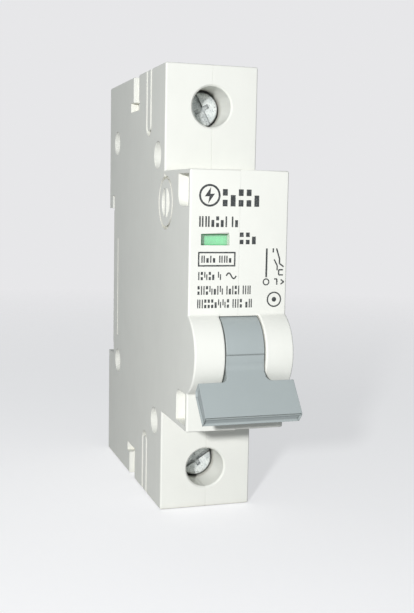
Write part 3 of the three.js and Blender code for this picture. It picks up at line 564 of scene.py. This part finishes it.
def add_screw(end):
    """A cheese-head clamp screw with a slot, a cross recess and a real helical thread."""
    node = f"{end}_terminal_screw"
    centre = Vector((0, 0, mid(node).z / MM))
    axis = Vector((0, 1, 0))
    bm = bmesh.new()
    face, head_r = HEAD["front"], HEAD["r"]
    profile = [
        (0, face),
        (1.4, face),
        (2.4, face + 0.05),
        (head_r - HEAD["chamfer"], face + 0.12),
        (head_r - 0.08, face + 0.28),
        (head_r, face + 0.5),
        (head_r, HEAD["back"] - 0.1),
        (head_r - 0.1, HEAD["back"]),
        (0, HEAD["back"]),
    ]
    turned(bm, centre, axis, profile, 64)
    spin = Matrix.Rotation(radians(SCREW_TURNS[end]), 3, "Y")
    front, floor = face - 1, face + HEAD["depth"]
    slot, reach = HEAD["slot"], HEAD["reach"]
    cutters = [
        box_cutter((-5, front, -slot), (5, floor, slot), spin, centre),
        box_cutter((-slot, front, -reach), (slot, floor - 0.1, reach), spin, centre),
    ]
    head = carved(node, bm, *cutters)
    bm = bmesh.new()
    bm.from_mesh(head)
    columns, rows_per_pitch = 40, 6
    rows = int((SHANK["end"] - HEAD["back"]) / SHANK["pitch"] * rows_per_pitch)
    rings = []
    for row in range(rows + 1):
        y = HEAD["back"] - 0.05 + (SHANK["end"] - HEAD["back"] + 0.05) * row / rows
        fade = min(1, (SHANK["end"] - y) / SHANK["pitch"], (y - HEAD["back"] + 0.1) / 0.5)
        ring = []
        for column in range(columns):
            a = 2 * pi * column / columns
            phase = (y / SHANK["pitch"] - column / columns) % 1
            height = 1 - abs(2 * phase - 1)
            r = SHANK["root"] + (SHANK["crest"] - SHANK["root"]) * height * fade
            ring.append(centre + Vector((r * cos(a), y, r * sin(a))))
        rings.append(ring)
    ring_surface(bm, rings)
    place(f"{end}_screw", mesh_from(bm, node), [node])


def add_rivet(node):
    """A semi-tubular rivet: a shank with a low domed head at each side, one of them with a rolled hollow."""
    low, high = (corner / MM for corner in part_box(node))
    centre = Vector((0, (low.y + high.y) / 2, (low.z + high.z) / 2))
    tip, foot = high.x, high.x - RIVET["height"]
    dome = [(RIVET["r"] * across, foot + RIVET["height"] * up) for across, up in RIVET_DOME]
    hollow_r, floor = RIVET["hollow"], tip - 0.5
    hollow = [(hollow_r, tip), (hollow_r * 0.85, tip - 0.08), (hollow_r * 0.8, floor), (0, floor)]
    left = [(0, -tip), *((r, -x) for r, x in reversed(dome)), (RIVET["shank"], -foot)]
    bm = bmesh.new()
    turned(bm, centre, Vector((1, 0, 0)), [*left, (RIVET["shank"], foot), *dome, *hollow], 40)
    place(f"{node}_head", mesh_from(bm, node), [node])


for end in SCREW_TURNS:
    add_screw(end)
for node in frame["nodes"]:
    if node.startswith("rivet"):
        add_rivet(node)


# ---- wires: springs, winding and flexible lead ---------------------------------------------------

def tube(bm, path, r, sides=10):
    """A round wire along a path of points, with a frame carried along it so that it doesn't twist."""
    side = (path[1] - path[0]).orthogonal().normalized()
    rings = []
    for i, point in enumerate(path):
        along = (path[min(i + 1, len(path) - 1)] - path[max(i - 1, 0)]).normalized()
        side = (side - along * side.dot(along)).normalized()
        rings.append(circle(point, r, sides, side, along.cross(side)))
    ring_surface(bm, rings)


def helix(foot, axis, r, length, turns, steps=20, close=0.0):
    """Points of a helix. The first and last turns lie flat where close is near 1."""
    u = axis.orthogonal().normalized()
    v = axis.cross(u)
    count = round(turns * steps)
    points = []
    for i in range(count + 1):
        t = i / count
        eased = t * t * (3 - 2 * t)
        a = 2 * pi * turns * t
        points.append(foot + axis * length * (t + close * (eased - t)) + r * (cos(a) * u + sin(a) * v))
    return points


def with_legs(points, axis_point, axis, reach):
    """The spring's ends bent outwards as straight legs."""
    def leg(point):
        out = point - axis_point
        out = (out - axis * out.dot(axis)).normalized()
        return point + out * reach
    return [leg(points[0]), *points, leg(points[-1])]


ACROSS, BACKWARD, UPWARD = Vector((1, 0, 0)), Vector((0, 1, 0)), Vector((0, 0, 1))
# Foot, axis, coil radius, length, turns, wire radius, length of the legs.
SPRINGS = {
    "handle_spring": (Vector((-3.0, HANDLE_Y, HANDLE_Z)), ACROSS, 1.75, 1.05, 2.25, 0.2, 1.3),
    "carrier_spring": (Vector((-5.33, -38.4, 6.4)), ACROSS, 2.2, 0.55, 1.25, 0.2, 1.2),
    "trip_lever_spring": (Vector((-5.3, -24, 7.5)), ACROSS, 1.8, 1.0, 2.25, 0.2, 1.0),
    "plunger_spring": (Vector((0, -13.95, -4)), BACKWARD, 1.45, 2.9, 2.5, 0.17, 0),
    "rail_clip_spring": (Vector((0, 2.6, -35.0)), UPWARD, 1.05, 10.6, 8, 0.24, 0),
}


def add_springs():
    made = {}
    for node, (foot, axis, r, length, turns, wire, legs) in SPRINGS.items():
        points = helix(foot, axis, r, length, turns, close=0 if legs else 0.5)
        if legs:
            points = with_legs(points, foot, axis, legs)
        bm = bmesh.new()
        tube(bm, points, wire)
        made[node] = place(f"{node}_wire", mesh_from(bm, node, 60), [node])
    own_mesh(made["plunger_spring"])
    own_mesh(made["rail_clip_spring"])


def add_winding():
    """The trip coil's winding, of thick enamelled wire. Its two ends stop at the coil."""
    low, high = (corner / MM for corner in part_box("coil_winding"))
    r = (high.x - low.x) / 2 - WINDING["wire"]
    foot = Vector((0, low.y + WINDING["start"], mid("coil_winding").z / MM))
    length = high.y - low.y - 2 * WINDING["start"]
    points = helix(foot, BACKWARD, r, length, WINDING["turns"], 28)
    bm = bmesh.new()
    tube(bm, points, WINDING["wire"], 14)
    place("coil_wire", mesh_from(bm, "coil_wire", 60), ["coil_winding"])


LEAD_WAY = [
    (-2.4, -22.7, -8.6),
    (-3.9, -24.4, -12.4),
    (-4.4, -31, -14.6),
    (-4.4, -39.5, -11),
    (-4.4, -44, -2),
    (-4, -44.2, 7),
    (-2.4, -42.2, 13.2),
    (0, -39.9, 16),
]
LEAD_STRANDS = 7
LEAD_TURNS = 9
LEAD_R = 0.52
LEAD_WEAVE = 0.05
STRAND_R = 0.2


def smooth_way(corners, per_span):
    """A Catmull-Rom curve through the corners."""
    ends = [corners[0] * 2 - corners[1], *corners, corners[-1] * 2 - corners[-2]]
    points = []
    for a, b, c, d in zip(ends, ends[1:], ends[2:], ends[3:]):
        for i in range(per_span):
            t = i / per_span
            points.append(0.5 * (2 * b + (c - a) * t + (2 * a - 5 * b + 4 * c - d) * t * t
                                 + (3 * b - a - 3 * c + d) * t ** 3))
    return [*points, corners[-1]]


def add_lead():
    """Braided copper lead to the moving contact, of strands laid round each other in both directions."""
    way = smooth_way([Vector(corner) for corner in LEAD_WAY], 16)
    side = (way[1] - way[0]).orthogonal().normalized()
    frames = []
    for i, point in enumerate(way):
        along = (way[min(i + 1, len(way) - 1)] - way[max(i - 1, 0)]).normalized()
        side = (side - along * side.dot(along)).normalized()
        frames.append((point, side, along.cross(side)))
    bm = bmesh.new()
    for turn in (1, -1):
        for strand in range(LEAD_STRANDS):
            path = []
            for i, (point, u, v) in enumerate(frames):
                a = 2 * pi * (turn * LEAD_TURNS * i / len(frames) + strand / LEAD_STRANDS)
                r = LEAD_R + LEAD_WEAVE * cos(LEAD_STRANDS * a / 2 + strand * pi) * turn
                path.append(point + r * (cos(a) * u + sin(a) * v))
            tube(bm, path, STRAND_R, 6)
    lead = place("lead_strands", mesh_from(bm, "lead_strands", 60), ["flexible_braid"], body=())
    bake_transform(lead)


add_springs()
add_winding()
add_lead()


# ---- printed marks -------------------------------------------------------------------------------

PRINT_Y = -59.52
# Rows of small print as x from, x to, z from, z to, stroke width.
PRINT_ROWS = [
    (-3.1, 4.0, 16.3, 19.2, 0.46),
    (-7.2, 0.3, 12.8, 14.6, 0.27),
    (0.1, 3.7, 9.9, 11.9, 0.36),
    (-6.7, -1.2, 6.75, 7.95, 0.22),
    (-7.2, -2.5, 3.8, 5.2, 0.2),
    (-7.3, 3.0, 1.3, 2.8, 0.2),
    (-7.3, 3.0, -1.0, 0.5, 0.2),
]
PRINT_SEED = 11


class Print:
    """Flat ink shapes on the front of the nose, given as x and z in millimetres."""

    def __init__(self):
        self.bm = bmesh.new()

    def patch(self, *corners):
        self.bm.faces.new([self.bm.verts.new(mm(x, PRINT_Y, z)) for x, z in corners])

    def bar(self, x0, x1, z0, z1):
        self.patch((x0, z0), (x1, z0), (x1, z1), (x0, z1))

    def line(self, width, *points):
        """Straight strokes from point to point."""
        for (x0, z0), (x1, z1) in zip(points, points[1:]):
            length = hypot(x1 - x0, z1 - z0)
            nx, nz = (z0 - z1) / length * width / 2, (x1 - x0) / length * width / 2
            self.patch((x0 - nx, z0 - nz), (x1 - nx, z1 - nz), (x1 + nx, z1 + nz), (x0 + nx, z0 + nz))

    def ring(self, x, z, r, width, sides=40):
        for i in range(sides):
            a, b = 2 * pi * i / sides, 2 * pi * (i + 1) / sides
            inner = r - width
            self.patch((x + r * cos(a), z + r * sin(a)), (x + r * cos(b), z + r * sin(b)),
                       (x + inner * cos(b), z + inner * sin(b)), (x + inner * cos(a), z + inner * sin(a)))

    def disc(self, x, z, r, sides=24):
        turns = [2 * pi * i / sides for i in range(sides)]
        self.patch(*[(x + r * cos(a), z + r * sin(a)) for a in turns])

    def row(self, x0, x1, z0, z1, stroke, rng):
        """A row of plain upright strokes and small blocks, like small print but with no letters in it."""
        x = x0
        height = z1 - z0
        since_gap = 0
        while x + 2.6 * stroke <= x1:
            kind = rng.choice(("tall", "pair", "slot", "blocks", "low"))
            if since_gap > 3 and rng.random() < 0.3:
                x += stroke * 2
                since_gap = 0
                continue
            since_gap += 1
            if kind == "tall":
                self.bar(x, x + stroke, z0, z1)
                x += stroke * 2.2
            elif kind == "pair":
                self.bar(x, x + stroke, z0, z1)
                self.bar(x + stroke * 1.8, x + stroke * 2.8, z0, z1)
                x += stroke * 4
            elif kind == "slot":
                self.bar(x, x + stroke, z0 + height * 0.3, z1)
                self.bar(x + stroke * 1.8, x + stroke * 2.8, z0, z0 + height * 0.7)
                x += stroke * 4
            elif kind == "blocks":
                self.bar(x, x + stroke * 1.9, z0, z0 + height * 0.38)
                self.bar(x, x + stroke * 1.9, z1 - height * 0.38, z1)
                x += stroke * 3.1
            else:
                self.bar(x, x + stroke * 1.9, z0, z0 + height * 0.66)
                x += stroke * 3.1


def add_print():
    """Generic marks: a flash in a ring, rows of small print, a diagram and a dot in a ring."""
    ink = Print()
    rng = random.Random(PRINT_SEED)
    ink.ring(-5.4, 18.1, 1.9, 0.35)
    ink.patch((-5.2, 19.5), (-6.3, 17.9), (-5.45, 17.95), (-5.7, 16.7), (-4.5, 18.4), (-5.3, 18.35))
    for row in PRINT_ROWS:
        ink.row(*row, rng)
    for x0, x1, z0, z1 in ((-7.3, -0.6, 8.35, 8.6), (-7.3, -0.6, 6.1, 6.35), (-7.3, -7.05, 6.35, 8.35),
                           (-0.85, -0.6, 6.35, 8.35)):
        ink.bar(x0, x1, z0, z1)
    wave = [(-2.2 + 1.8 * i / 12, 4.5 + 0.5 * sin(2 * pi * i / 12)) for i in range(13)]
    ink.line(0.24, *wave)
    # One-line diagram of a switch: a lead with a terminal ring, and beside it the lever and its two releases.
    ink.line(0.32, (5.1, 9.2), (5.1, 4.2))
    ink.ring(5.1, 3.4, 0.62, 0.22)
    ink.line(0.26, (6.3, 9.2), (6.3, 8.5))
    ink.line(0.26, (6.9, 9.2), (7.5, 7.4), (7.5, 6.6), (8.3, 6.0))
    ink.line(0.24, (6.5, 7.3), (7.1, 6.2), (7.1, 5.4))
    ink.line(0.24, (8.2, 5.5), (7.4, 5.5), (7.4, 4.6), (8.2, 4.6))
    ink.line(0.24, (6.6, 3.9), (7.1, 3.9), (7.1, 2.9))
    ink.line(0.24, (7.8, 3.8), (8.4, 3.4), (7.8, 3.0))
    ink.ring(6.65, 0.35, 1.35, 0.25)
    ink.disc(6.65, 0.35, 0.42)
    mesh = bpy.data.meshes.new("print_marks")
    bmesh.ops.recalc_face_normals(ink.bm, faces=ink.bm.faces)
    ink.bm.to_mesh(mesh)
    ink.bm.free()
    place("print_marks", mesh, [], slot="black_plastic", body="case", look=PRINT_INK)


add_print()


# ---- stage ---------------------------------------------------------------------------------------

def add_camera():
    data = bpy.data.cameras.new("camera")
    data.lens = CAMERA_LENS
    data.sensor_width = 36
    data.clip_start = 0.005
    camera = bpy.data.objects.new("camera", data)
    bpy.context.scene.collection.objects.link(camera)
    turn = Matrix.Rotation(radians(CAMERA_AZIMUTH), 4, "Z")
    tilt = Matrix.Rotation(radians(90 - CAMERA_ELEVATION), 4, "X")
    roll = Matrix.Rotation(radians(CAMERA_ROLL), 4, "Z")
    camera.matrix_world = Matrix.Translation(mm(*CAMERA_PLACE)) @ turn @ tilt @ roll
    bpy.context.scene.camera = camera


def add_key():
    data = bpy.data.lights.new("key", "AREA")
    data.shape = "DISK"
    data.size = KEY_SIZE * MM
    data.energy = KEY_POWER
    data.color = (1.0, 1.0, 0.995)
    key = bpy.data.objects.new("key", data)
    bpy.context.scene.collection.objects.link(key)
    azimuth, elevation = radians(KEY_AZIMUTH), radians(KEY_ELEVATION)
    back = Vector((sin(azimuth) * cos(elevation), -cos(azimuth) * cos(elevation), sin(elevation)))
    target = (cad_box[0] + cad_box[1]) / 2
    key.location = target + back * KEY_DISTANCE * MM
    key.rotation_euler = (-back).to_track_quat("-Z", "Y").to_euler()


def add_world():
    """A pale backdrop, and a dimmer and slightly cooler light from all round."""
    world = bpy.data.worlds.new("studio")
    world.use_nodes = True
    tree = world.node_tree
    tree.nodes.clear()
    seen = tree.nodes.new("ShaderNodeBackground")
    seen.inputs["Color"].default_value = (*BACKDROP, 1)
    light = tree.nodes.new("ShaderNodeBackground")
    light.inputs["Color"].default_value = (*AMBIENT_COLOUR, 1)
    light.inputs["Strength"].default_value = AMBIENT
    path = tree.nodes.new("ShaderNodeLightPath")
    mix = tree.nodes.new("ShaderNodeMixShader")
    output = tree.nodes.new("ShaderNodeOutputWorld")
    tree.links.new(path.outputs["Is Camera Ray"], mix.inputs["Fac"])
    tree.links.new(light.outputs[0], mix.inputs[1])
    tree.links.new(seen.outputs[0], mix.inputs[2])
    tree.links.new(mix.outputs[0], output.inputs["Surface"])
    bpy.context.scene.world = world


def add_floor():
    """A pale round floor that fades out into the backdrop."""
    bm = bmesh.new()
    bmesh.ops.create_circle(bm, cap_ends=True, radius=FLOOR_CLEAR_R * 1.05 * MM, segments=96)
    mesh = bpy.data.meshes.new("floor")
    bm.to_mesh(mesh)
    bm.free()
    floor = bpy.data.objects.new("floor", mesh)
    bpy.context.scene.collection.objects.link(floor)
    floor.location = (0, -FLOOR_BACK * MM, cad_box[0].z - FLOOR_DROP * MM)
    made = Surface("floor", rough=0.8)
    made.shader.inputs["Base Color"].default_value = (*FLOOR_COLOUR, 1)
    reach = made.node("ShaderNodeVectorMath", operation="LENGTH")
    made.link(made.place, reach.inputs[0])
    fade = made.span(reach.outputs["Value"], 1, 0, FLOOR_SOLID_R * MM, FLOOR_CLEAR_R * MM)
    made.link(fade, made.shader.inputs["Alpha"])
    made.shader.inputs["Emission Color"].default_value = (*BACKDROP, 1)
    seen = made.node("ShaderNodeLightPath").outputs["Is Camera Ray"]
    made.link(made.span(seen, 0, FLOOR_GLOW, 0, 1), made.shader.inputs["Emission Strength"])
    mesh.materials.append(made.done())


add_camera()
add_key()
add_world()
add_floor()
bpy.context.scene.view_settings.view_transform = "Standard"

SHARP_NODES = ("window_lens",)


def soften(cad_node):
    """Rounds a CAD node's edges with modifiers, so that its own mesh stays as it is."""
    cad_node.data.shade_smooth()
    cad_node.modifiers.new("weld", "WELD").merge_threshold = WELD * MM
    bevel = cad_node.modifiers.new("bevel", "BEVEL")
    bevel.limit_method = "ANGLE"
    bevel.angle_limit = radians(SOFTENED_ANGLE)
    bevel.width = FINE_ROUND * MM
    bevel.segments = 2
    cad_node.modifiers.new("normals", "WEIGHTED_NORMAL").weight = 60


for name, cad_node in frame["nodes"].items():
    if not cad_node.hide_render:
        cad_node.data.materials.clear()
        cad_node.data.materials.append(LOOKS[SLOT_OF[name]])
        if name not in SHARP_NODES:
            soften(cad_node)
